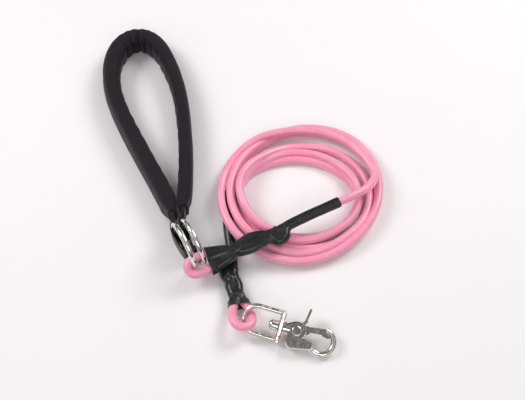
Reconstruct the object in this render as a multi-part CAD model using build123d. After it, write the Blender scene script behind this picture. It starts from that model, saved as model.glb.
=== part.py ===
from build123d import *
import math
import os

# A training leash lying on a table: a padded hand loop, two O-rings, a coiled rope and a
# swivel trigger snap. Millimetres, +Z up, the table is Z = 0. The layout below is drawn from
# a corner of its own; each finished solid is then moved so that the origin is on the table,
# under the middle of the leash without its rope.
MIDDLE = Vector(1.96, -12.32, 0)

# Rope and its heat-shrink sleeves
ROPE_R = 4.0
SLEEVE_WALL = 0.9
SLEEVE_R = ROPE_R + SLEEVE_WALL

# O-rings. They stand upright and share one axis.
RING_WIRE = 5.0
RING_INSIDE = 38.0
RING_MEAN_R = (RING_INSIDE + RING_WIRE) / 2
RING_Z = RING_MEAN_R + RING_WIRE / 2 + 0.1
RING_SPACING = 9.0
RINGS_AT = Vector(-12.7, -92.6, 0)
RING_LINE = Vector(0.487, -0.873, 0).normalized()     # along the rings' planes, away from the handle
RING_AXIS = Vector(0.873, 0.487, 0).normalized()

# Webbing and padded cover of the handle, both standing on edge
WEB_THICK = 1.6
WEB_WIDE = 18.0
WEB_LOW = 6.3
PAD_HIGH = 26.5
PAD_THICK = 14.5
PAD_LOW = 0.15
COVER_WALL = 1.2
NECK_THICK = 8.0
NECK_HIGH = 22.0
NECK_Z = 15.2

# Rope bend through the rings: its plane drops away from the rings' middle
HANDLE_BEND_R = 7.4
HANDLE_BEND_DROP = 15.0     # degrees below the rings' middle

# Coil of rope: outside and inside edges
COIL_MIDDLE = (92.0, -25.0)
COIL_OUT = (83.0, 76.5)
COIL_TURN = 40.0
COIL_HOLE_MIDDLE = (87.0, -31.5)
COIL_HOLE = (54.5, 40.5)
COIL_HOLE_TURN = -7.0
COIL_HIGH = 16.0

# Trigger snap: its axis runs from the eye's end to the hook
SNAP_AT = Vector(35.4, -156.8, 14.8)
SNAP_DIR = Vector(0.955, -0.266, -0.087).normalized()
EYE_ROLL = 35.0
HOOK_ROLL = 16.0
EYE_WIRE = 4.4
EYE_MEAN_R = 12.3
EYE_BASE_X = 33.5
EYE_BASE_THICK = 4.5
EYE_BASE_DEEP = 9.0
SWIVEL_R = 3.0
RUNNING = 0.05              # radial clearance of a turning fit
PIVOT_X = 50.0
PIVOT_R = 2.0
BODY_THICK = 8.0
SLOT_THICK = 3.8
TRIGGER_THICK = 3.4
GATE_THICK = 5.0
HOOK_MIDDLE = (73.0, -2.5)
HOOK_MEAN_R = 10.6
HOOK_WIRE = 5.4
SHOULDER_R = 25.9          # the gate's end, from the pivot
SNAP_BEND_R = 8.6

os.makedirs("parts", exist_ok=True)


def write(node, shape):
    shape = Pos(*(-MIDDLE)) * shape
    shape.label = node
    export_step(shape, f"parts/{node}.step")


def ring_frame(along, across, z):
    """A point given along the rings' planes, across them, and up."""
    spot = RINGS_AT + RING_LINE * along + RING_AXIS * across
    return Vector(spot.X, spot.Y, z)


def snap_plane(roll):
    """The snap's own frame: x along its axis, y across it, z out of its flat side."""
    side = Vector(0, 0, 1).cross(SNAP_DIR).normalized()
    normal = SNAP_DIR.cross(side)
    turned = normal.rotate(Axis((0, 0, 0), tuple(SNAP_DIR)), roll)
    return Plane(origin=SNAP_AT, x_dir=SNAP_DIR, z_dir=turned)


def corner_radii(points, share=0.45, most=1e9):
    """The largest tangent arc that fits at each corner of a route."""
    radii = []
    for before, here, after in zip(points, points[1:], points[2:]):
        run_in = here - before
        run_out = after - here
        turn = math.radians(run_in.get_angle(run_out))
        shorter = min(run_in.length, run_out.length)
        radii.append(min(most, share * shorter / math.tan(turn / 2)))
    return radii


def route(points, radii=None):
    points = [Vector(*p) if not isinstance(p, Vector) else p for p in points]
    return FilletPolyline(*points, radius=radii or corner_radii(points))


def tube(path, radius):
    start = Plane(origin=path @ 0, z_dir=path % 0)
    return sweep(start * Circle(radius), path=path)


def say(name, points, solid):
    """Prints a rope tube's length, its arcs, and its volume beside its section times its length."""
    path = route(points)
    arcs = ", ".join(f"{r:.0f}" for r in corner_radii([Vector(*p) for p in points]))
    print(f"{name}: length {path.length:.0f}, arc radii {arcs}, "
          f"volume {solid.volume:.0f} of {path.length * math.pi * ROPE_R ** 2:.0f}")


# ---- the padded handle -------------------------------------------------------------

# The strap's centreline in plan, from the left strap's end round the top to the right's.
STRAP = [(-40, -38), (-63.5, 5.5), (-89, 54), (-103.5, 88), (-108, 123), (-100, 150),
         (-81.5, 162), (-61, 153), (-44, 123), (-31, 84), (-24.5, 45), (-20.5, 2), (-19.8, -38)]


def strap_path(z):
    return route([(x, y, z) for x, y in STRAP])


def strap_section(thick, high):
    """The strap's section in the plane across the left strap's end."""
    path = strap_path(PAD_LOW + PAD_HIGH / 2)
    across = Plane(origin=path @ 0, x_dir=(0, 0, 1), z_dir=path % 0)
    return across * RectangleRounded(high, thick, thick * 0.45)


def strap_solid(wall):
    path = strap_path(PAD_LOW + PAD_HIGH / 2)
    return sweep(strap_section(PAD_THICK - 2 * wall, PAD_HIGH - 2 * wall), path=path)


NECK_ALONG = -38.0
NECK_ACROSS = {"left": 1.8, "right": 13.4}


def neck_plane(side):
    """Where the gathered end of the cover stops: the left strap's or the right strap's."""
    across = NECK_ACROSS[side]
    lean = -0.1 if side == "left" else -0.5
    at = ring_frame(NECK_ALONG, across, NECK_Z)
    toward = (RING_LINE + RING_AXIS * lean).normalized()
    return Plane(origin=at, x_dir=(0, 0, 1), z_dir=toward)


def strap_end_plane(side):
    path = strap_path(PAD_LOW + PAD_HIGH / 2)
    if side == "left":
        return Plane(origin=path @ 0, x_dir=(0, 0, 1), z_dir=(path % 0) * -1)
    return Plane(origin=path @ 1, x_dir=(0, 0, 1), z_dir=path % 1)


def neck(side, wall, past):
    """The cover's gathered end, from the full strap to the neck."""
    start = strap_end_plane(side)
    end = neck_plane(side)
    wide = RectangleRounded(PAD_HIGH - 2 * wall, PAD_THICK - 2 * wall, (PAD_THICK - 2 * wall) * 0.45)
    thin = NECK_THICK - 2 * wall
    narrow = RectangleRounded(NECK_HIGH - 2 * wall, thin, thin * 0.45)
    return loft([start * wide, end.offset(past) * narrow])


def strap_and_necks(wall, past):
    return strap_solid(wall) + neck("left", wall, past) + neck("right", wall, past)


def handle_cover():
    return strap_and_necks(0, 0) - strap_and_necks(COVER_WALL, 0.6)


LAYER_GAP = 0.25
WEB_BACK = {"left": (-56, 2.5), "right": (-50.5, 19.9)}


def webbing_end(side):
    """The webbing loop round a ring: route from the sewn-down end back to the strap."""
    mid = -RING_SPACING / 2 if side == "left" else RING_SPACING / 2
    out = -1 if side == "left" else 1
    leg = RING_WIRE / 2 + 0.25 + WEB_THICK / 2
    layer = WEB_THICK / 2 + LAYER_GAP
    root = NECK_ACROSS[side]
    join = -1.6 if side == "left" else 8.8
    back, strap = WEB_BACK[side]
    fold = 5.5 if side == "left" else 4.5
    return [
        (back, strap - out * layer),
        (NECK_ALONG, root - out * layer),
        (-30, join - out * layer),
        (-25, mid - out * leg),
        (fold, mid - out * leg),
        (fold, mid + out * leg),
        (-25, mid + out * leg),
        (-30, join + out * layer),
        (NECK_ALONG, root + out * layer),
        (back, strap + out * layer),
    ]


def handle_webbing():
    z = WEB_LOW + WEB_WIDE / 2
    left = [ring_frame(u, n, z) for u, n in webbing_end("left")]
    right = [ring_frame(u, n, z) for u, n in webbing_end("right")]
    middle = [Vector(x, y, z) for x, y in STRAP[1:-1]]
    points = left + middle + right[::-1]
    tight = [3.0, 3.0, 3.0, WEB_THICK * 2.1, WEB_THICK * 2.1, 3.0, 3.0, 3.0]
    ends = len(left) - 2
    radii = corner_radii(points, most=90)
    radii[:ends] = tight
    radii[-ends:] = tight
    path = route(points, radii)
    start = Plane(origin=path @ 0, x_dir=(0, 0, 1), z_dir=path % 0)
    return sweep(start * Rectangle(WEB_WIDE, WEB_THICK), path=path)


def loop_stitching(side):
    """Two sewn patches, one on each face of the doubled webbing."""
    back, strap = WEB_BACK[side]
    z = WEB_LOW + WEB_WIDE / 2
    start = ring_frame(NECK_ALONG, NECK_ACROSS[side], z)
    end = ring_frame(back, strap, z)
    along = (end - start).normalized()
    patches = []
    for face in (-1, 1):
        plane = Plane(origin=start + along * 7, x_dir=along, z_dir=along.cross(Vector(0, 0, 1)) * face)
        patches.append(plane * Pos(0, 0, WEB_THICK + LAYER_GAP + 0.15) * Box(9, 13, 0.3))
    return Compound(patches)


# ---- rings -------------------------------------------------------------------------

def o_ring(across):
    at = ring_frame(0, across, RING_Z)
    return Plane(origin=at, z_dir=RING_AXIS) * Torus(RING_MEAN_R, RING_WIRE / 2)


# ---- rope at the handle ------------------------------------------------------------

def bend_point(step, across):
    """A point of the rope bend's plane: step from the rings' wire, away from their middle."""
    drop = math.radians(HANDLE_BEND_DROP)
    reach = RING_MEAN_R + step
    return ring_frame(reach * math.cos(drop), across, RING_Z - reach * math.sin(drop))


HANDLE_MOUTH = 9.6          # the sleeve's mouth, across the rings
BEND_SIDE = -4.0            # where the rope turns round the far ring


def rope_handle_loop():
    points = [
        bend_point(-HANDLE_BEND_R, HANDLE_MOUTH),
        bend_point(-HANDLE_BEND_R, BEND_SIDE - HANDLE_BEND_R),
        bend_point(HANDLE_BEND_R, BEND_SIDE - HANDLE_BEND_R),
        bend_point(HANDLE_BEND_R, HANDLE_MOUTH),
    ]
    radii = [HANDLE_BEND_R - 0.01, HANDLE_BEND_R - 0.01]
    path = route(points, radii)
    return tube(path, ROPE_R)


# The standing rope runs the whole sleeve; the turned-back end lies beside it.
HANDLE_STANDING = [(34, -88.5, 20.5), (54, -82.5, 23.5), (90, -66, 25.5), (126, -48, 27)]
HANDLE_SHORT = [(36.5, -96.8, 20.0), (57.5, -90.4, 23.0), (76, -82, 24.2)]


def under_handle_sleeve(which):
    if which == "standing":
        first = bend_point(-HANDLE_BEND_R, HANDLE_MOUTH)
        rest = HANDLE_STANDING
    else:
        first = bend_point(HANDLE_BEND_R, HANDLE_MOUTH)
        rest = HANDLE_SHORT
    return [first, first + RING_AXIS * 8] + [Vector(*p) for p in rest]


def sleeve(standing, short):
    """Heat-shrink tube over the standing rope and the turned-back end."""
    long_path = route(standing)
    short_path = route(short)
    skin = tube(long_path, SLEEVE_R) + tube(short_path, SLEEVE_R)
    return skin - tube(long_path, ROPE_R) - tube(short_path, ROPE_R)


# ---- free rope and coil ------------------------------------------------------------

ROPE_LEAD = [(126, -48, 27), (138, -42, 27.5), (148.5, -34, 24.5), (155.5, -22, 19.5), (158.5, -9, 14)]


def rope_lead():
    return tube(route(ROPE_LEAD), ROPE_R)


SNAP_STANDING = [(20.6, -28, 5.2), (20.6, -50, 5.2), (23.0, -74, 5.2), (25.6, -97, 5.2), (27.6, -114, 5.4)]
SNAP_SHORT = [(17.0, -99, 5.2), (18.6, -113, 5.4)]


def coil_channel():
    """The way that the snap's sleeve takes under the coil."""
    slot = Plane.XY.offset(-1) * Polygon(
        (14.8, -28), (27.0, -28), (29.5, -74), (32.5, -110), (8, -110), (15.0, -60), align=None)
    return extrude(slot, 11.6, dir=(0, 0, 1))


def rope_coil():
    outside = Pos(*COIL_MIDDLE, 0) * Rot(0, 0, COIL_TURN) * Ellipse(*COIL_OUT)
    hole = Pos(*COIL_HOLE_MIDDLE, 0) * Rot(0, 0, COIL_HOLE_TURN) * Ellipse(*COIL_HOLE)
    ring = extrude(outside - hole, COIL_HIGH)
    ring = fillet(ring.edges().group_by(Axis.Z)[-1], 3.5)
    return ring - coil_channel() - rope_lead()


# ---- rope at the snap --------------------------------------------------------------

LOOP_MIDDLE = Vector(36.2, -157.7, 12.9)
LOOP_NORMAL = Vector(0.12, 0.36, 0.925).normalized()


def loop_point(forward, sideways):
    """A point of the snap loop's plane: forward is away from the sleeve."""
    ahead = Vector(0.16, -0.98, 0)
    ahead = (ahead - LOOP_NORMAL * ahead.dot(LOOP_NORMAL)).normalized()
    side = ahead.cross(LOOP_NORMAL)
    return LOOP_MIDDLE + ahead * forward + side * sideways


SNAP_MOUTH = 13.0           # from the loop's middle back to the sleeve's mouth
SNAP_MOUTH_HALF = 7.2       # half the strands' spread there
LOOP_SPREAD = 4.0
LOOP_REACH = 3.0            # straight rope before the far bend, so that the eye can tilt


def rope_snap_loop():
    r = SNAP_BEND_R
    corners = [(-SNAP_MOUTH, -SNAP_MOUTH_HALF), (-LOOP_SPREAD, -r), (LOOP_REACH + r, -r),
               (LOOP_REACH + r, r), (-LOOP_SPREAD, r), (-SNAP_MOUTH, SNAP_MOUTH_HALF)]
    points = [loop_point(forward, sideways) for forward, sideways in corners]
    radii = [20, r - 0.02, r - 0.02, 20]
    path = route(points, radii)
    return tube(path, ROPE_R)


def under_snap_sleeve(which):
    side = -1 if which == "standing" else 1
    rest = SNAP_STANDING if which == "standing" else SNAP_SHORT
    mouth = loop_point(-SNAP_MOUTH, side * SNAP_MOUTH_HALF)
    inward = mouth - loop_point(-LOOP_SPREAD, side * SNAP_BEND_R)
    return [Vector(*p) for p in rest] + [mouth + inward.normalized() * 7, mouth]


# ---- trigger snap ------------------------------------------------------------------

def snap_eye():
    plane = snap_plane(EYE_ROLL)
    start = Vector(EYE_BASE_X + 1, EYE_MEAN_R, 0)
    turn = Vector(EYE_MEAN_R + EYE_WIRE / 2, EYE_MEAN_R, 0)
    wire_path = Line(start, turn) + ThreePointArc(
        turn, (EYE_WIRE / 2, 0, 0), (turn.X, -EYE_MEAN_R, 0)) + Line((turn.X, -EYE_MEAN_R, 0), (start.X, -start.Y, 0))
    wire = sweep(Plane(origin=start, z_dir=(-1, 0, 0)) * Circle(EYE_WIRE / 2), path=wire_path)
    base = Pos(EYE_BASE_X + EYE_BASE_THICK / 2, 0, 0) * Box(
        EYE_BASE_THICK, 2 * EYE_MEAN_R + EYE_WIRE, EYE_BASE_DEEP)
    base = fillet(base.edges(), 1.4)
    bore = Plane(origin=(EYE_BASE_X - 2, 0, 0), z_dir=(1, 0, 0)) * Cylinder(
        SWIVEL_R + RUNNING, 12, align=(Align.CENTER, Align.CENTER, Align.MIN))
    return plane * (wire + base - bore)


def along_x(start, end, radius):
    """A round bar on the snap's axis."""
    return Plane(origin=(start, 0, 0), z_dir=(1, 0, 0)) * Cylinder(
        radius, end - start, align=(Align.CENTER, Align.CENTER, Align.MIN))


WASHER_X = EYE_BASE_X - 1.2
COLLAR_X = EYE_BASE_X + EYE_BASE_THICK + 0.2
POST_END_X = COLLAR_X + 4.0
POST_HEAD = 7.2


def swivel_post():
    head = along_x(WASHER_X - POST_HEAD, WASHER_X, 4.6)
    head = fillet(head.edges().group_by(Axis.X)[0], 3.4)
    shank = along_x(WASHER_X - 1, POST_END_X, SWIVEL_R)
    return snap_plane(HOOK_ROLL) * (head + shank)


def swivel_washer():
    ring = along_x(WASHER_X, WASHER_X + 1.0, 5.4) - along_x(WASHER_X - 1, WASHER_X + 2, SWIVEL_R)
    return snap_plane(HOOK_ROLL) * ring


def disc(x, y, radius):
    return Pos(x, y, 0) * Circle(radius)


def hull(*shapes):
    return make_hull([edge for shape in shapes for edge in shape.edges()])


def slab(face, thick):
    return extrude(face, thick / 2, both=True)


def hook_body():
    boss = disc(PIVOT_X, 0, 8.3)
    bulge = disc(PIVOT_X - 1.5, -9.3, 6.6)
    root = disc(63.3, -9.6, 3.4)
    plate = hull(disc(43.2, 0, 5.0), boss) + hull(boss, bulge) + hull(bulge, root)
    body = slab(plate, BODY_THICK)
    body = chamfer(body.edges().filter_by(Axis.Z, reverse=True), 1.1)
    body += along_x(COLLAR_X, COLLAR_X + 1.8, 5.6)
    body += along_x(COLLAR_X + 1.8, PIVOT_X - 6, 4.4)
    body += hook_wire(200, 78, HOOK_WIRE / 2)
    body -= slab(slot_outline(), SLOT_THICK)
    nose_cut = slab(disc(PIVOT_X, 0, SHOULDER_R + 0.25) & Pos(PIVOT_X + 20, 10.5, 0) * Rectangle(30, 18), 20)
    body -= nose_cut
    body -= Pos(PIVOT_X, 0, 0) * Cylinder(PIVOT_R, 30)
    body -= along_x(COLLAR_X - 1, POST_END_X, SWIVEL_R)
    body -= Pos(PIVOT_X - 4.5, -11.5, 0) * Cylinder(1.3, 30)
    return snap_plane(HOOK_ROLL) * body


def hook_wire(start, end, radius):
    """The hook's round bar, clockwise from its root past its outer end to its nose."""
    middle = Vector(*HOOK_MIDDLE, 0)

    def at(angle):
        a = math.radians(angle)
        return middle + Vector(math.cos(a), math.sin(a), 0) * HOOK_MEAN_R

    arc = ThreePointArc(at(start), at((start - 360 + end) / 2), at(end))
    return sweep(Plane(origin=arc @ 0, z_dir=arc % 0) * Circle(radius), path=arc)


def slot_outline():
    """Where the trigger turns inside the body: round its boss, and open to the gate and lever."""
    way_out = Pos(PIVOT_X + 9, 5.1, 0) * Rectangle(20, 24.2)
    return disc(PIVOT_X, 0, 7.5) + way_out


def trigger():
    boss = disc(PIVOT_X, 0, 6.9)
    arm = slab(hull(boss, disc(PIVOT_X + 11, 4.2, 2.4)), TRIGGER_THICK)
    arm += slab(hull(disc(PIVOT_X + 11.4, 4.4, 2.4), disc(PIVOT_X + 26, 6.2, 2.7)), GATE_THICK)
    arm += slab(hull(disc(PIVOT_X + 23, 3.6, 1.6), disc(PIVOT_X + 27.4, 2.4, 1.3)), GATE_THICK)
    arm += slab(hull(disc(PIVOT_X + 3.2, 6.0, 1.5), disc(PIVOT_X + 6.2, 10.5, 1.1)), TRIGGER_THICK)
    pad = slab(hull(disc(PIVOT_X + 5.6, 10.2, 1.0), disc(PIVOT_X + 7.2, 20.6, 1.0)), 9.0)
    arm += pad
    outer = disc(PIVOT_X, 0, SHOULDER_R)
    inside_hook = disc(*HOOK_MIDDLE, HOOK_MEAN_R - HOOK_WIRE / 2 - 0.3)
    arm = arm & slab(outer + inside_hook + Pos(PIVOT_X + 7, 16, 0) * Rectangle(8, 14), 20)
    arm -= Pos(PIVOT_X, 0, 0) * Cylinder(PIVOT_R + RUNNING, 30)
    recess = Pos(PIVOT_X, 0, -TRIGGER_THICK / 2 + 0.8) * (Cylinder(4.5, 1.6) - Cylinder(2.7, 1.6))
    return snap_plane(HOOK_ROLL) * (arm - recess)


def trigger_pivot():
    pin = Pos(PIVOT_X, 0, 0) * Cylinder(PIVOT_R, BODY_THICK + 1)
    for side in (-1, 1):
        head = Pos(PIVOT_X, 0, side * (BODY_THICK / 2 + 0.8)) * Cylinder(4.5, 1.6)
        rim = head.edges().filter_by(GeomType.CIRCLE).sort_by(Axis.Z)[-1 if side > 0 else 0]
        pin += fillet(rim, 1.1)
    return snap_plane(HOOK_ROLL) * pin


def trigger_spring():
    z = -TRIGGER_THICK / 2
    coils = [Pos(PIVOT_X, 0, z + 0.35 + step * 0.75) * Torus(3.6, 0.34) for step in range(2)]
    return snap_plane(HOOK_ROLL) * Compound(coils)


def main():
    webbing = handle_webbing()
    write("handle_webbing", webbing)
    write("handle_foam", strap_solid(COVER_WALL) - webbing)
    write("handle_cover", handle_cover())
    for side, across in (("left", -RING_SPACING / 2), ("right", RING_SPACING / 2)):
        write(f"{side}_loop_stitching", loop_stitching(side))
        write(f"{side}_ring", o_ring(across))
    write("rope_handle_loop", rope_handle_loop())
    standing, short = under_handle_sleeve("standing"), under_handle_sleeve("short")
    write("rope_under_handle_sleeve", tube(route(standing), ROPE_R))
    write("rope_short_end_handle", tube(route(short), ROPE_R))
    write("handle_sleeve", sleeve(standing, short))
    lead = rope_lead()
    say("rope_lead", ROPE_LEAD, lead)
    write("rope_lead", lead)
    write("rope_coil", rope_coil())
    standing, short = under_snap_sleeve("standing"), under_snap_sleeve("short")
    write("rope_under_snap_sleeve", tube(route(standing), ROPE_R))
    write("rope_short_end_snap", tube(route(short), ROPE_R))
    write("snap_sleeve", sleeve(standing, short))
    write("rope_snap_loop", rope_snap_loop())
    write("snap_eye", snap_eye())
    write("swivel_post", swivel_post())
    write("swivel_washer", swivel_washer())
    write("hook_body", hook_body())
    write("trigger", trigger())
    write("trigger_pivot", trigger_pivot())
    write("trigger_spring", trigger_spring())


main()
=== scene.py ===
import math

import bmesh
import bpy
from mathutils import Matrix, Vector, noise


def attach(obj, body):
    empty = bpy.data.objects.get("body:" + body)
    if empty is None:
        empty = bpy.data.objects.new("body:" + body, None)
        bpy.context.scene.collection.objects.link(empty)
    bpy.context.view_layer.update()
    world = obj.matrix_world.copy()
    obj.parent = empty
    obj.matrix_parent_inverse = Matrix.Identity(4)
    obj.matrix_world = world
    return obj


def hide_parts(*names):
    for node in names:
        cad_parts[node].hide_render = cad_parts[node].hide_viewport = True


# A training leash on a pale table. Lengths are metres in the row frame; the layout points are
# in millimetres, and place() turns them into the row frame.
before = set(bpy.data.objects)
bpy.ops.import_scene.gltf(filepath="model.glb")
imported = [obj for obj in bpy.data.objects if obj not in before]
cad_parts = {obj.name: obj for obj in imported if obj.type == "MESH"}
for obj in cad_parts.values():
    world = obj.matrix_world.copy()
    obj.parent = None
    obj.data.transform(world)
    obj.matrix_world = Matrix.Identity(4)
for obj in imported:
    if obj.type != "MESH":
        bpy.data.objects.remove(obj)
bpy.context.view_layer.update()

MIDDLE = (1.96, -12.32)
ROPE = 0.008


def place(x, y, z=0.0):
    return Vector(((x - MIDDLE[0]) / 1000, (y - MIDDLE[1]) / 1000, z / 1000))


# ---- camera ------------------------------------------------------------------------

def add_camera():
    data = bpy.data.cameras.new("camera")
    data.lens = 50
    data.sensor_width = 36
    camera = bpy.data.objects.new("camera", data)
    camera.location = place(54, -387, 613.1)
    toward = place(54, -33, 0) - camera.location
    camera.rotation_euler = toward.to_track_quat("-Z", "Y").to_euler()
    bpy.context.collection.objects.link(camera)
    bpy.context.scene.camera = camera


add_camera()
bpy.context.scene.view_settings.view_transform = "Standard"


# ---- helpers for nodes and meshes -----------------------------------------------------

class Nodes:
    """A short way to build a material's node tree."""

    def __init__(self, name):
        self.material = bpy.data.materials.new(name)
        self.material.use_nodes = True
        self.tree = self.material.node_tree
        self.shader = self.tree.nodes["Principled BSDF"]

    def add(self, kind, links=None, **values):
        node = self.tree.nodes.new(kind)
        for key, value in values.items():
            if key in node.inputs:
                node.inputs[key].default_value = value
            else:
                setattr(node, key, value)
        for key, source in (links or {}).items():
            self.tree.links.new(source, node.inputs[key])
        return node

    def link(self, source, target):
        self.tree.links.new(source, target)

    def set(self, **values):
        for key, value in values.items():
            self.shader.inputs[key.replace("_", " ")].default_value = value

    def noise(self, coords, scale, detail=3.0, roughness=0.5):
        node = self.add("ShaderNodeTexNoise", {"Vector": coords}, Scale=scale, Detail=detail)
        node.inputs["Roughness"].default_value = roughness
        return node.outputs["Fac"]

    def ramp(self, source, stops):
        node = self.add("ShaderNodeValToRGB", {"Fac": source})
        ramp = node.color_ramp
        while len(ramp.elements) < len(stops):
            ramp.elements.new(0.5)
        for element, (position, colour) in zip(ramp.elements, stops):
            element.position = position
            element.color = colour if len(colour) == 4 else (*colour, 1)
        return node.outputs["Color"]

    def maths(self, operation, *sources):
        node = self.tree.nodes.new("ShaderNodeMath")
        node.operation = operation
        for slot, source in zip(node.inputs, sources):
            if isinstance(source, (int, float)):
                slot.default_value = source
            else:
                self.tree.links.new(source, slot)
        return node.outputs[0]

    def bump(self, height, strength, distance, normal=None):
        node = self.add("ShaderNodeBump", {"Height": height}, Strength=strength, Distance=distance)
        if normal is not None:
            self.tree.links.new(normal, node.inputs["Normal"])
        return node.outputs["Normal"]


def grey(value):
    return (value, value, value, 1)


# ---- materials -------------------------------------------------------------------------

def rope_material():
    """Glossy pink coated rope: the braid shows faintly through a soft clear skin."""
    m = Nodes("pink_rope")
    where = m.add("ShaderNodeTexCoord").outputs
    uv = m.add("ShaderNodeMapping", {"Vector": where["UV"]}, Scale=(900, 12, 1)).outputs[0]
    strands = m.add("ShaderNodeTexWave", {"Vector": uv}, Scale=0.35, Distortion=1.5, Detail=1.0)
    strands.bands_direction = "DIAGONAL"
    patches = m.noise(where["Object"], 55, 4)
    pinks = [(0.30, (0.96, 0.31, 0.47)), (0.62, (0.98, 0.37, 0.53)), (0.9, (0.99, 0.43, 0.58))]
    colour = m.ramp(patches, pinks)
    m.link(colour, m.shader.inputs["Base Color"])
    rough = m.ramp(m.noise(where["Object"], 240, 3), [(0.25, grey(0.24)), (0.8, grey(0.40))])
    m.link(rough, m.shader.inputs["Roughness"])
    fine = m.noise(where["Object"], 900, 2)
    height = m.maths("ADD", m.maths("MULTIPLY", strands.outputs["Fac"], 0.35), m.maths("MULTIPLY", fine, 0.4))
    m.link(m.bump(height, 0.12, 0.0004), m.shader.inputs["Normal"])
    m.set(Subsurface_Weight=0.12, Subsurface_Scale=0.003, Coat_Weight=0.5, Coat_Roughness=0.3,
          Sheen_Weight=0.45, Sheen_Roughness=0.45)
    m.shader.inputs["Subsurface Radius"].default_value = (1.0, 0.35, 0.45)
    return m.material


ROPE_PINK = rope_material()


# ---- the rope: one cord with its coil, and a short loop at each end --------------------

def curve_cord(name, points, material):
    """A round rope along a smooth curve that has the given control points."""
    data = bpy.data.curves.new(name, "CURVE")
    data.dimensions = "3D"
    data.bevel_depth = ROPE / 2
    data.bevel_resolution = 7
    data.resolution_u = 14
    data.use_fill_caps = True
    spline = data.splines.new("NURBS")
    spline.points.add(len(points) - 1)
    for slot, point in zip(spline.points, points):
        slot.co = (*place(*point), 1)
    spline.order_u = 3
    spline.use_endpoint_u = True
    piece = bpy.data.objects.new(name, data)
    bpy.context.collection.objects.link(piece)
    data.materials.append(material)
    return piece


# The coil lies between two ellipses. A turn's place at an angle is a share of the way from
# the inner one to the outer one, and a height.
INNER = dict(middle=(87.0, -31.5), semi=(58.5, 44.5), turned=-7)
OUTER = dict(middle=(92.0, -25.0), semi=(80.4, 73.8), turned=40)

# (degrees round from the right-hand side, share, height in mm), outermost turn of the pile first
LAY = [
    (15, 0.74, 14.0), (50, 0.74, 13.2), (90, 0.72, 13.0), (135, 0.92, 12.6), (180, 1.13, 10.4),
    (207, 1.10, 15.4), (235, 1.08, 11.0), (270, 1.07, 6.5), (315, 1.00, 9.4),
    (360, 0.93, 12.2), (405, 0.97, 8.4), (450, 0.95, 5.0), (495, 0.73, 10.0), (540, 0.47, 13.3),
    (585, 0.62, 13.0), (630, 0.80, 9.0), (675, 0.68, 9.8),
    (720, 0.56, 5.6), (765, 0.46, 4.8), (810, 0.355, 4.4), (855, 0.10, 13.0), (900, -0.15, 19.9),
    (945, 0.08, 15.8), (990, 0.305, 11.6), (1035, 0.20, 12.4),
    (1080, 0.08, 12.4), (1125, 0.12, 8.0), (1170, 0.14, 6.4), (1215, -0.02, 9.0), (1260, -0.15, 12.0),
    (1305, -0.06, 8.4), (1350, 0.03, 4.8), (1395, 0.04, 4.2),
    (1440, 0.08, 4.2), (1485, -0.02, 4.2), (1530, -0.05, 4.2), (1575, -0.10, 4.2), (1620, -0.08, 4.2),
    (1665, 0.26, 5.4), (1710, 0.54, 7.4), (1755, 0.72, 4.4),
    (1800, 0.93, 4.2), (1845, 0.90, 4.3), (1890, 0.86, 4.4), (1935, 0.70, 4.7), (1965, 0.62, 5.1),
]
STEP = 22.5


def ellipse_point(ellipse, degrees):
    a, b = ellipse["semi"]
    turn = math.radians(degrees - ellipse["turned"])
    reach = a * b / math.hypot(b * math.cos(turn), a * math.sin(turn))
    angle = math.radians(degrees)
    x, y = ellipse["middle"]
    return x + reach * math.cos(angle), y + reach * math.sin(angle)


def lay_at(degrees):
    """Share and height of the rope at an angle, eased between the rows of LAY."""
    for (start, share0, z0), (end, share1, z1) in zip(LAY, LAY[1:]):
        if degrees <= end:
            f = (degrees - start) / (end - start)
            f = f * f * (3 - 2 * f)
            return share0 + (share1 - share0) * f, z0 + (z1 - z0) * f
    return LAY[-1][1:]


def coil_points():
    points = []
    degrees = LAY[0][0] + STEP
    while degrees <= LAY[-1][0] + 0.1:
        share, z = lay_at(degrees)
        inner = ellipse_point(INNER, degrees)
        outer = ellipse_point(OUTER, degrees)
        points.append((inner[0] + (outer[0] - inner[0]) * share, inner[1] + (outer[1] - inner[1]) * share, z))
        degrees += STEP
    return points


LEAD = [
    (107, -58.6, 26.2), (124.8, -50.6, 27), (138, -43.8, 27),
    (150.5, -36, 24.5), (159.5, -25, 20), (163.5, -11, 16),
]
TO_SNAP = [(20.6, -28, 5.2), (20.6, -40, 5.2), (20.8, -52, 5.2)]

leash_rope = curve_cord("leash_rope", LEAD + coil_points() + TO_SNAP, ROPE_PINK)
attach(leash_rope, "rope")
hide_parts("rope_lead", "rope_coil", "rope_under_handle_sleeve", "rope_under_snap_sleeve")


def add_end_loop(name, points, nodes):
    """A short bight of the rope that comes out of a sleeve and goes back into it."""
    piece = curve_cord(name, points, ROPE_PINK)
    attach(piece, "rope")
    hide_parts(*nodes)


# Round the two rings: out of the sleeve, through the rings, round and back.
RING_MIDDLE = Vector((-12.7, -92.6, 24.1))
RING_LINE = Vector((0.487, -0.873, 0)).normalized()
RING_AXIS = Vector((0.873, 0.487, 0)).normalized()
DROP = math.radians(15)


def ring_point(reach, across, lift=0.0):
    """Reach from the rings' middle along their dropped line, and across both rings."""
    spot = RING_MIDDLE + RING_LINE * (reach * math.cos(DROP)) + RING_AXIS * across
    return spot.x, spot.y, RING_MIDDLE.z - reach * math.sin(DROP) + lift


add_end_loop("rope_loop_on_rings", [
    (30, -95.4, 20.9), (16, -98.6, 20.7),
    ring_point(14.1, 9.6), ring_point(14.1, -10.8), ring_point(28.9, -10.8), ring_point(28.9, 9.6),
    (18, -108.4, 17.8), (30, -99.6, 20.2),
], ["rope_handle_loop", "rope_short_end_handle"])

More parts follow.
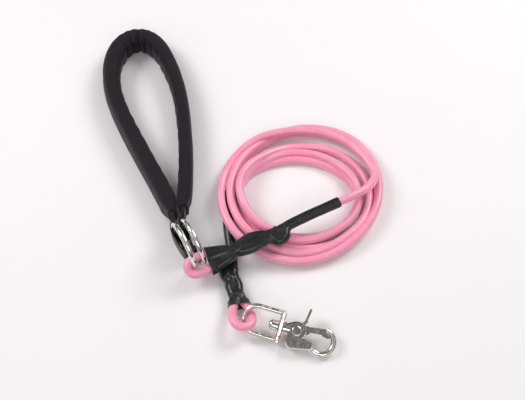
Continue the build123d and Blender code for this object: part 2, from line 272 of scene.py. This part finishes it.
LOOP_MIDDLE = Vector((36.2, -157.7, 12.9))
LOOP_NORMAL = Vector((0.12, 0.36, 0.925)).normalized()
LOOP_AHEAD = Vector((0.16, -0.98, 0))
LOOP_AHEAD = (LOOP_AHEAD - LOOP_NORMAL * LOOP_AHEAD.dot(LOOP_NORMAL)).normalized()
LOOP_SIDE = LOOP_AHEAD.cross(LOOP_NORMAL)


def snap_point(forward, sideways):
    """A point in the plane of the loop that holds the snap's eye."""
    return tuple(LOOP_MIDDLE + LOOP_AHEAD * forward + LOOP_SIDE * sideways)


# Round the snap's eye, with a half circle at its far end.
add_end_loop("rope_loop_on_snap", [
    (30.6, -124, 6.0), (32.2, -134, 6.6),
    snap_point(-13, -6.4), snap_point(-4.5, -8.6), snap_point(6.6, -8.6), snap_point(11.6, -3.6),
    snap_point(11.6, 3.6), snap_point(6.6, 8.6), snap_point(-4.5, 8.6), snap_point(-12, 5.6),
    (29.8, -135, 6.8), (26.8, -124, 6.0),
], ["rope_snap_loop", "rope_short_end_snap"])


# ---- heat-shrink sleeves -----------------------------------------------------------------

def sleeve_material():
    """Satin black heat-shrink tube with fine creases, scuffs and a dull bloom."""
    m = Nodes("shrink_tube")
    where = m.add("ShaderNodeTexCoord").outputs
    blacks = [(0.35, (0.006, 0.006, 0.007)), (0.75, (0.016, 0.015, 0.018))]
    m.link(m.ramp(m.noise(where["Object"], 90, 5), blacks), m.shader.inputs["Base Color"])
    m.link(m.ramp(m.noise(where["Object"], 320, 4, 0.7), [(0.3, grey(0.22)), (0.75, grey(0.40))]),
           m.shader.inputs["Roughness"])
    creases = m.noise(where["Object"], 120, 3, 0.5)
    pits = m.noise(where["Object"], 1500, 2)
    height = m.maths("ADD", m.maths("MULTIPLY", creases, 1.0), m.maths("MULTIPLY", pits, 0.06))
    m.link(m.bump(height, 0.4, 0.0006), m.shader.inputs["Normal"])
    m.set(Specular_IOR_Level=0.55, Coat_Weight=0.15, Coat_Roughness=0.3)
    return m.material


SLEEVE_BLACK = sleeve_material()


def catmull(rows, steps):
    """Rows of numbers, with eased rows put between them."""
    out = []
    for i in range(len(rows) - 1):
        before, here = rows[max(i - 1, 0)], rows[i]
        after, past = rows[i + 1], rows[min(i + 2, len(rows) - 1)]
        for k in range(steps):
            t = k / steps
            out.append([0.5 * (2 * b + (c - a) * t + (2 * a - 5 * b + 4 * c - d) * t * t
                               + (3 * b - a - 3 * c + d) * t ** 3)
                        for a, b, c, d in zip(before, here, after, past)])
    out.append(list(rows[-1]))
    return out


def stadium_reach(angle, spread, radius):
    """Distance from the middle to the outline drawn tight round two circles."""
    c, s = abs(math.cos(angle)), abs(math.sin(angle))
    if s > 1e-6 and c * radius / s <= spread:
        return radius / s
    return spread * c + math.sqrt(max(radius * radius - (spread * s) ** 2, 0))


def tube_mesh(name, rings, material):
    """A mesh through rings of points, all with the same count."""
    mesh = bpy.data.meshes.new(name)
    built = bmesh.new()
    rows = [[built.verts.new(point) for point in ring] for ring in rings]
    count = len(rings[0])
    for row, after in zip(rows, rows[1:]):
        for k in range(count):
            built.faces.new((row[k], row[(k + 1) % count], after[(k + 1) % count], after[k]))
    built.faces.new(reversed(rows[0]))
    built.faces.new(rows[-1])
    bmesh.ops.recalc_face_normals(built, faces=built.faces)
    for face in built.faces:
        face.smooth = True
    built.to_mesh(mesh)
    built.free()
    piece = bpy.data.objects.new(name, mesh)
    bpy.context.collection.objects.link(piece)
    mesh.materials.append(material)
    return piece


SLEEVE_SIDES = 64


def sleeve_rings(rows, steps, pinch, wrinkles, seed):
    """Outlines along a sleeve over two strands. A row is strand one, strand two and a radius."""
    rows = catmull(rows, steps)
    rings = []
    for i, row in enumerate(rows):
        one, two, radius = Vector(row[0:3]), Vector(row[3:6]), row[6]
        middle = (one + two) / 2
        after, before = rows[min(i + 1, len(rows) - 1)], rows[max(i - 1, 0)]
        ahead = Vector(after[0:3]) + Vector(after[3:6])
        along = (ahead - Vector(before[0:3]) - Vector(before[3:6])).normalized()
        spread = (one - two).length / 2
        side = (one - two) if spread > 0.6 else Vector((0, 0, 1)).cross(along)
        side = (side - along * side.dot(along)).normalized()
        up = along.cross(side)
        share = i / (len(rows) - 1)
        ring = []
        for k in range(SLEEVE_SIDES):
            angle = 2 * math.pi * k / SLEEVE_SIDES
            reach = stadium_reach(angle, spread, radius)
            waist = math.exp(-(math.cos(angle) / 0.42) ** 2) * min(spread / 4, 1)
            reach -= pinch * radius * waist
            for start, end, folds, depth in wrinkles:
                if start < share < end:
                    inside = math.sin(math.pi * (share - start) / (end - start)) ** 2
                    wobble = noise.noise(Vector((angle * 1.3, share * 14, seed))) * 2.2
                    reach += depth * inside * math.sin(folds * angle + wobble * 3 + share * 9)
            lump = noise.noise(Vector((math.cos(angle) * 1.4, math.sin(angle) * 1.4, share * 9 + seed)))
            reach += lump * 0.35
            ring.append(middle + side * math.cos(angle) * reach + up * math.sin(angle) * reach)
        rings.append(ring)
    return rings


def shrunk(ring, by):
    """A ring of points drawn in towards its middle by a length."""
    middle = sum(ring, Vector()) / len(ring)
    return [point - (point - middle).normalized() * by for point in ring]


def with_lips(rings, wall, depth):
    """Rings that turn in at both ends and run back inside, so that the tube has a wall."""
    def inside(first, second):
        back = (sum(second, Vector()) - sum(first, Vector())).normalized()
        lip = shrunk(first, wall * 0.5)
        rim = [point - back * 0.25 for point in lip]
        hole = shrunk(first, wall)
        deep = [point + back * depth for point in hole]
        return [deep, hole, rim]

    return inside(rings[0], rings[1]) + rings + inside(rings[-1], rings[-2])[::-1]


def add_sleeve(name, rings, node):
    rings = with_lips(rings, 0.9, 5)
    rings = [[place(*point) for point in ring] for ring in rings]
    piece = tube_mesh(name, rings, SLEEVE_BLACK)
    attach(piece, "rope")
    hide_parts(node)
    return piece


# Standing strand, turned-back strand, radius, from the rings outwards
HANDLE_SLEEVE = [
    (2.4, -99.6, 20.6, 9.0, -115.0, 16.6, 5.2),
    (7.6, -99.0, 20.6, 13.6, -111.8, 16.8, 5.0),
    (13.4, -98.2, 20.6, 19.0, -108.2, 17.6, 4.9),
    (22.4, -97.2, 20.8, 26.2, -103.2, 19.2, 4.8),
    (29.0, -95.2, 21.2, 30.4, -98.8, 20.4, 4.7),
    (34.0, -91.4, 21.6, 36.8, -98.0, 21.0, 4.9),
    (42.4, -85.8, 22.4, 45.6, -95.0, 21.8, 5.0),
    (51.2, -83.8, 23.2, 53.2, -90.6, 22.6, 4.9),
    (58.2, -83.0, 23.6, 59.4, -87.0, 23.2, 4.5),
    (62.8, -81.4, 23.8, 64.4, -87.4, 23.6, 4.8),
    (67.2, -79.4, 24.1, 69.4, -89.2, 24.0, 4.9),
    (70.0, -78.0, 24.3, 72.8, -86.0, 24.2, 4.8),
    (73.0, -76.4, 24.5, 75.0, -79.4, 24.5, 4.7),
    (77.4, -74.0, 24.8, 78.0, -74.2, 24.8, 4.7),
    (82.4, -71.4, 25.0, 82.6, -71.4, 25.0, 4.8),
    (98.3, -63.4, 25.8, 98.4, -63.4, 25.8, 4.85),
    (112.0, -56.8, 26.4, 112.2, -56.8, 26.4, 4.85),
    (124.8, -50.6, 27.0, 125.0, -50.6, 27.0, 4.9),
]
SNAP_SLEEVE = [
    (20.6, -28.0, 5.2, 20.8, -28.0, 5.2, 4.85),
    (20.6, -40.0, 5.2, 20.8, -40.0, 5.2, 4.8),
    (21.2, -58.0, 5.2, 21.4, -58.0, 5.2, 4.8),
    (22.8, -74.0, 5.2, 23.0, -74.0, 5.2, 4.8),
    (24.8, -88.0, 5.2, 24.8, -88.0, 5.2, 4.85),
    (26.2, -97.0, 5.2, 23.6, -97.0, 5.3, 4.9),
    (26.8, -104.0, 5.2, 21.6, -104.8, 5.3, 4.9),
    (27.2, -110.6, 5.3, 19.4, -110.0, 5.3, 4.9),
    (27.8, -115.4, 5.4, 20.6, -114.6, 5.4, 4.8),
    (29.2, -119.6, 5.6, 24.4, -119.4, 5.5, 4.8),
    (31.6, -125.6, 6.0, 25.2, -125.6, 5.9, 4.95),
    (32.4, -131.6, 6.5, 27.0, -131.8, 6.6, 4.9),
    (33.4, -135.8, 7.0, 29.0, -135.8, 7.4, 5.1),
    (36.0, -140.4, 7.3, 29.2, -141.4, 8.6, 5.2),
    (39.0, -144.6, 7.8, 28.8, -148.4, 10.2, 5.4),
]
# Start and end as shares of the sleeve, number of folds round it, depth in mm
HANDLE_WRINKLES = [(0.15, 0.34, 9, 0.24), (0.40, 0.56, 9, 0.2), (0.62, 0.80, 5, 0.12)]
SNAP_WRINKLES = [(0.56, 0.74, 8, 0.18), (0.80, 0.96, 8, 0.22), (0.36, 0.50, 6, 0.15)]
SLEEVE_STEPS = 8
handle_rings = sleeve_rings(HANDLE_SLEEVE, SLEEVE_STEPS, 0.12, HANDLE_WRINKLES, 3.0)
add_sleeve("handle_heat_shrink", handle_rings, "handle_sleeve")
snap_rings = sleeve_rings(SNAP_SLEEVE, SLEEVE_STEPS, 0.05, SNAP_WRINKLES, 11.0)
add_sleeve("snap_heat_shrink", snap_rings, "snap_sleeve")


# ---- padded handle --------------------------------------------------------------------------

def cloth_material(name, dark, light, weave, sheen, rough):
    """Woven or knitted black cloth: fine crossing threads, soft wear and a light sheen."""
    m = Nodes(name)
    where = m.add("ShaderNodeTexCoord").outputs
    warp = m.add("ShaderNodeTexWave", {"Vector": where["Object"]}, Scale=weave, Distortion=0.6, Detail=1.0)
    warp.bands_direction = "Z"
    weft = m.add("ShaderNodeTexWave", {"Vector": where["Object"]}, Scale=weave, Distortion=0.6, Detail=1.0)
    weft.bands_direction = "DIAGONAL"
    threads = m.maths("MAXIMUM", warp.outputs["Fac"], weft.outputs["Fac"])
    wear = m.noise(where["Object"], 45, 5, 0.6)
    fuzz = m.noise(where["Object"], 1100, 3)
    tone = m.maths("ADD", m.maths("MULTIPLY", wear, 0.75), m.maths("MULTIPLY", fuzz, 0.35))
    m.link(m.ramp(tone, [(0.35, dark), (0.75, light)]), m.shader.inputs["Base Color"])
    m.link(m.ramp(wear, [(0.3, grey(rough - 0.06)), (0.8, grey(rough + 0.08))]), m.shader.inputs["Roughness"])
    height = m.maths("ADD", m.maths("MULTIPLY", threads, 0.5), m.maths("MULTIPLY", fuzz, 0.6))
    m.link(m.bump(height, 0.5, 0.0004), m.shader.inputs["Normal"])
    m.set(Sheen_Weight=sheen, Sheen_Roughness=0.4, Specular_IOR_Level=0.22)
    return m.material


COVER_BLACK = cloth_material("padded_cover", (0.006, 0.0046, 0.0066), (0.016, 0.0126, 0.017), 900, 0.12, 0.70)
WEB_BLACK = cloth_material("webbing", (0.006, 0.006, 0.007), (0.022, 0.021, 0.024), 700, 0.2, 0.55)

STRAP = [(-63.5, 5.5), (-89, 54), (-103.5, 88), (-108, 123), (-100, 150), (-81.5, 162),
         (-61, 153), (-44, 123), (-31, 84), (-24.5, 45), (-20.5, 2)]
PAD_HIGH = 26.2
PAD_THICK = 14.2
NECK_HIGH = 21.6
NECK_THICK = 8.2
NECK_MIDDLE_Z = 15.0


def spline_line(points, resolution):
    """The points of a smooth curve that has the given control points."""
    data = bpy.data.curves.new("line", "CURVE")
    data.dimensions = "3D"
    data.resolution_u = resolution
    spline = data.splines.new("NURBS")
    spline.points.add(len(points) - 1)
    for slot, point in zip(spline.points, points):
        slot.co = (*point, 1)
    spline.order_u = 3
    spline.use_endpoint_u = True
    carrier = bpy.data.objects.new("line", data)
    mesh = bpy.data.meshes.new_from_object(carrier)
    line = [vertex.co.copy() for vertex in mesh.vertices]
    bpy.data.objects.remove(carrier)
    bpy.data.meshes.remove(mesh)
    return line


def evenly(line, gap):
    """The same line with points at an even spacing."""
    out = [line[0]]
    carried = 0.0
    for here, after in zip(line, line[1:]):
        run = (after - here).length
        while carried + run >= gap * len(out):
            f = (gap * len(out) - carried) / run
            out.append(here.lerp(after, f))
        carried += run
    out.append(line[-1])
    return out


def ring_xy(along, across):
    spot = RING_MIDDLE + RING_LINE * along + RING_AXIS * across
    return spot.x, spot.y


# The strap's centreline from the left neck round the top to the right neck
PAD_START = [(*ring_xy(-38, 1.8), 0), (*ring_xy(-46, 2.0), 0), (-40, -37, 0)]
PAD_END = [(-19.8, -37, 0), (*ring_xy(-46, 16.2), 0), (*ring_xy(-38, 13.4), 0)]
PAD_LINE = PAD_START + [(x, y, 0) for x, y in STRAP] + PAD_END


def rounded(angle, wide, high, power):
    """A point of a rounded oblong outline."""
    c, s = math.cos(angle), math.sin(angle)
    x = math.copysign(abs(c) ** (2 / power), c) * wide / 2
    z = math.copysign(abs(s) ** (2 / power), s) * high / 2
    return x, z


PAD_SIDES = 72
PAD_STEP = 1.6

# Creases at the top bend: place along the strap from its top, depth and width in mm
FOLDS = [
    (-31, 0.7, 3.4), (-19, 1.9, 2.2), (-9, 2.8, 1.8), (1, 4.2, 2.4),
    (10, 2.4, 1.7), (19, 1.7, 2.2), (31, 0.8, 3.2),
]


def padded_rings():
    line = evenly(spline_line(PAD_LINE, 24), PAD_STEP)
    total = len(line) - 1
    top = max(range(len(line)), key=lambda i: line[i].y)
    rings = []
    for i, at in enumerate(line):
        ahead = (line[min(i + 1, total)] - line[max(i - 1, 0)]).normalized()
        out = Vector((-ahead.y, ahead.x, 0))
        from_end = min(i, total - i) * PAD_STEP
        gather = min(from_end / 15, 1)
        gather = gather * gather * (3 - 2 * gather)
        wide = NECK_THICK + (PAD_THICK - NECK_THICK) * gather
        high = NECK_HIGH + (PAD_HIGH - NECK_HIGH) * gather
        middle_z = NECK_MIDDLE_Z + (PAD_HIGH / 2 + 0.2 - NECK_MIDDLE_Z) * gather
        from_top = (i - top) * PAD_STEP
        near_top = math.exp(-(from_top / 62) ** 2)
        wide += 3.6 * near_top
        high += 1.2 * near_top
        left = 0.5 - 0.5 * math.tanh(from_top / 30)
        bulge = (0.30 + 0.26 * near_top) * left
        lean = (0.9 - 2.6 * left) * gather
        ring = []
        for k in range(PAD_SIDES):
            angle = 2 * math.pi * k / PAD_SIDES
            x, z = rounded(angle, wide, high, 3.0)
            inward = max(-math.cos(angle), 0)
            upper = max(math.sin(angle), 0)
            fold = sum(depth * math.exp(-((from_top - offset * (1 - 0.05 * x)) / width) ** 2)
                       for offset, depth, width in FOLDS)
            ripple = noise.noise(Vector((i * 0.17, math.cos(angle) * 1.2, math.sin(angle) * 1.2))) * 0.45
            ripple += noise.noise(Vector((i * 0.055, 7 + math.cos(angle), math.sin(angle)))) * 0.6
            ripple += 0.45 * inward * math.sin(i * 0.62 + 2.4 * noise.noise(Vector((i * 0.1, 3, 0)))) * gather
            scale = 1 + (ripple * 0.55 - fold * (0.1 + inward)) / (wide / 2)
            scale += inward * (bulge + 0.16 * upper * left) * gather
            dip = fold * upper * (1.0 - 0.85 * math.cos(angle))
            ring.append(at + out * (x * scale + lean * z / (high / 2))
                        + Vector((0, 0, middle_z + 0.6 * near_top + z - dip)))
        rings.append(ring)
    return rings


pad = tube_mesh("padded_handle", [[place(*point) for point in ring] for ring in padded_rings()], COVER_BLACK)
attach(pad, "handle")
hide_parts("handle_cover", "handle_foam")


# ---- webbing loops round the rings ---------------------------------------------------------

def tape_section(ahead, wide, thick):
    """The rounded outline of the webbing, upright across its route."""
    across = Vector((-ahead.y, ahead.x, 0))
    outline = []
    for k in range(28):
        x, z = rounded(2 * math.pi * k / 28, thick, wide, 5.0)
        outline.append(across * x + Vector((0, 0, z)))
    return outline


def add_webbing(name, plan):
    """One end of the webbing: doubled in the strap, and open round its ring."""
    line = evenly(spline_line([(*ring_xy(along, across), 0) for along, across in plan], 16), 0.9)
    rings = []
    for i, at in enumerate(line):
        ahead = (line[min(i + 1, len(line) - 1)] - line[max(i - 1, 0)]).normalized()
        sag = 15.3 + 0.35 * noise.noise(Vector((i * 0.08, len(name), 0)))
        wide = 18.2 + 0.3 * noise.noise(Vector((i * 0.15, len(name), 9)))
        rings.append([at + Vector((0, 0, sag)) + point for point in tape_section(ahead, wide, 1.6)])
    piece = tube_mesh(name, [[place(*point) for point in ring] for ring in rings], WEB_BLACK)
    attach(piece, "handle")
    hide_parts("handle_webbing")


# (along the rings' line, across both rings), from inside the strap round the ring and back
add_webbing("webbing_left", [(-48, 1.2), (-38, 2.8), (-30, -0.7), (-25, -8.05), (5.5, -8.05), (5.5, -0.95),
                             (-25, -0.95), (-30, -2.5), (-38, 0.8), (-48, 1.0)])
add_webbing("webbing_right", [(-48, 15.2), (-38, 12.4), (-30, 7.9), (-25, 0.95), (4.5, 0.95), (4.5, 8.05),
                              (-25, 8.05), (-30, 9.7), (-38, 14.4), (-48, 17.0)])


# ---- metal and thread on the CAD pieces ------------------------------------------------------

def metal_material(name, dark, light, rough, scratch, cast_waves):
    """Polished plating with a cloudy film, fine scratches and a few duller patches."""
    m = Nodes(name)
    where = m.add("ShaderNodeTexCoord").outputs
    film = m.noise(where["Object"], 70, 4, 0.6)
    m.link(m.ramp(film, [(0.3, dark), (0.75, light)]), m.shader.inputs["Base Color"])
    dull = m.noise(where["Object"], 160, 5, 0.65)
    m.link(m.ramp(dull, [(0.35, grey(rough)), (0.8, grey(rough + 0.12))]), m.shader.inputs["Roughness"])
    stretched = m.add("ShaderNodeMapping", {"Vector": where["Object"]}, Scale=(2600, 300, 500)).outputs[0]
    lines = m.noise(stretched, 1.0, 2)
    cast = m.bump(m.noise(where["Object"], 85, 2), cast_waves, 0.0014)
    m.link(m.bump(lines, scratch, 0.0002, cast), m.shader.inputs["Normal"])
    m.set(Metallic=1.0)
    return m.material


def thread_material():
    m = Nodes("thread")
    where = m.add("ShaderNodeTexCoord").outputs
    rows = m.add("ShaderNodeTexWave", {"Vector": where["Object"]}, Scale=420, Distortion=1.2, Detail=2.0)
    m.link(m.ramp(rows.outputs["Fac"], [(0.2, (0.010, 0.010, 0.011)), (0.8, (0.045, 0.043, 0.046))]),
           m.shader.inputs["Base Color"])
    m.link(m.ramp(m.noise(where["Object"], 400, 3), [(0.3, grey(0.5)), (0.7, grey(0.7))]),
           m.shader.inputs["Roughness"])
    m.link(m.bump(rows.outputs["Fac"], 0.6, 0.0004), m.shader.inputs["Normal"])
    return m.material


CHROME = metal_material("ring_chrome", (0.70, 0.69, 0.68), (0.86, 0.85, 0.84), 0.06, 0.05, 0.22)
NICKEL = metal_material("nickel", (0.62, 0.59, 0.55), (0.82, 0.79, 0.74), 0.09, 0.08, 0.62)
SPRING = metal_material("spring_steel", (0.48, 0.47, 0.46), (0.62, 0.61, 0.60), 0.20, 0.12, 0.3)
THREAD = thread_material()

for piece_name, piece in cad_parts.items():
    if "stitch" in piece_name:
        looks = THREAD
    elif piece_name.endswith("_ring"):
        looks = CHROME
    elif piece_name == "trigger_spring":
        looks = SPRING
    else:
        looks = NICKEL
    piece.data.materials.clear()
    piece.data.materials.append(looks)


# ---- floor and light ---------------------------------------------------------------------

def add_floor():
    m = Nodes("floor")
    where = m.add("ShaderNodeTexCoord").outputs
    m.link(m.ramp(m.noise(where["Object"], 3, 2), [(0.3, (0.90, 0.875, 0.885)), (0.7, (0.92, 0.895, 0.905))]),
           m.shader.inputs["Base Color"])
    m.link(m.bump(m.noise(where["Object"], 700, 2), 0.03, 0.0003), m.shader.inputs["Normal"])
    m.set(Roughness=0.6, Specular_IOR_Level=0.2)
    bpy.ops.mesh.primitive_plane_add(size=6, location=(0, 0, 0))
    floor = bpy.context.object
    floor.name = "floor"
    floor.data.materials.append(m.material)


def add_light(name, spot, toward, size, watts, colour=(1, 1, 1)):
    data = bpy.data.lights.new(name, "AREA")
    data.shape = "RECTANGLE"
    data.size, data.size_y = size
    data.energy = watts
    data.color = colour
    lamp = bpy.data.objects.new(name, data)
    lamp.location = Vector(spot)
    lamp.rotation_euler = (Vector(toward) - Vector(spot)).to_track_quat("-Z", "Y").to_euler()
    bpy.context.collection.objects.link(lamp)


def ramp_of(tree, source, stops):
    """Grey by a number from 0 to 1."""
    ramp = tree.nodes.new("ShaderNodeValToRGB")
    while len(ramp.color_ramp.elements) < len(stops):
        ramp.color_ramp.elements.new(0.5)
    for element, (position, value) in zip(ramp.color_ramp.elements, stops):
        element.position = position
        element.color = (value, value, value, 1)
    tree.links.new(source, ramp.inputs[0])
    return ramp.outputs[0]


def add_world():
    """A studio: bright panels at both sides, darker overhead between them and low down."""
    world = bpy.data.worlds.new("studio")
    bpy.context.scene.world = world
    world.use_nodes = True
    tree = world.node_tree
    where = tree.nodes.new("ShaderNodeTexCoord").outputs["Generated"]
    split = tree.nodes.new("ShaderNodeSeparateXYZ")
    tree.links.new(where, split.inputs[0])
    half = tree.nodes.new("ShaderNodeMath")
    half.operation = "MULTIPLY_ADD"
    tree.links.new(split.outputs["X"], half.inputs[0])
    half.inputs[1].default_value = 0.5
    half.inputs[2].default_value = 0.5
    sides = ramp_of(tree, half.outputs[0], [
        (0.0, 0.5), (0.14, 1.0), (0.30, 1.0), (0.40, 0.45), (0.46, 0.10), (0.49, 0.75),
        (0.52, 0.16), (0.60, 0.5), (0.66, 1.0), (0.82, 1.0), (0.88, 0.3), (1.0, 0.7)])
    rise = ramp_of(tree, split.outputs["Z"], [
        (0.0, 0.9), (0.10, 0.12), (0.28, 0.25), (0.42, 1.0), (1.0, 1.0)])
    both = tree.nodes.new("ShaderNodeMath")
    both.operation = "MULTIPLY"
    tree.links.new(sides, both.inputs[0])
    tree.links.new(rise, both.inputs[1])
    tree.links.new(both.outputs[0], tree.nodes["Background"].inputs["Color"])
    tree.nodes["Background"].inputs["Strength"].default_value = 0.65


add_floor()
add_world()
add_light("key_right", (0.75, 0.55, 0.95), (0.02, 0.0, 0), (0.55, 0.55), 6.8)
add_light("key_left", (-0.85, 0.25, 0.95), (0.0, 0.0, 0), (0.55, 0.55), 6.2)
add_light("front", (0.1, -1.1, 1.1), (0.0, 0.0, 0), (0.8, 0.6), 4.0)
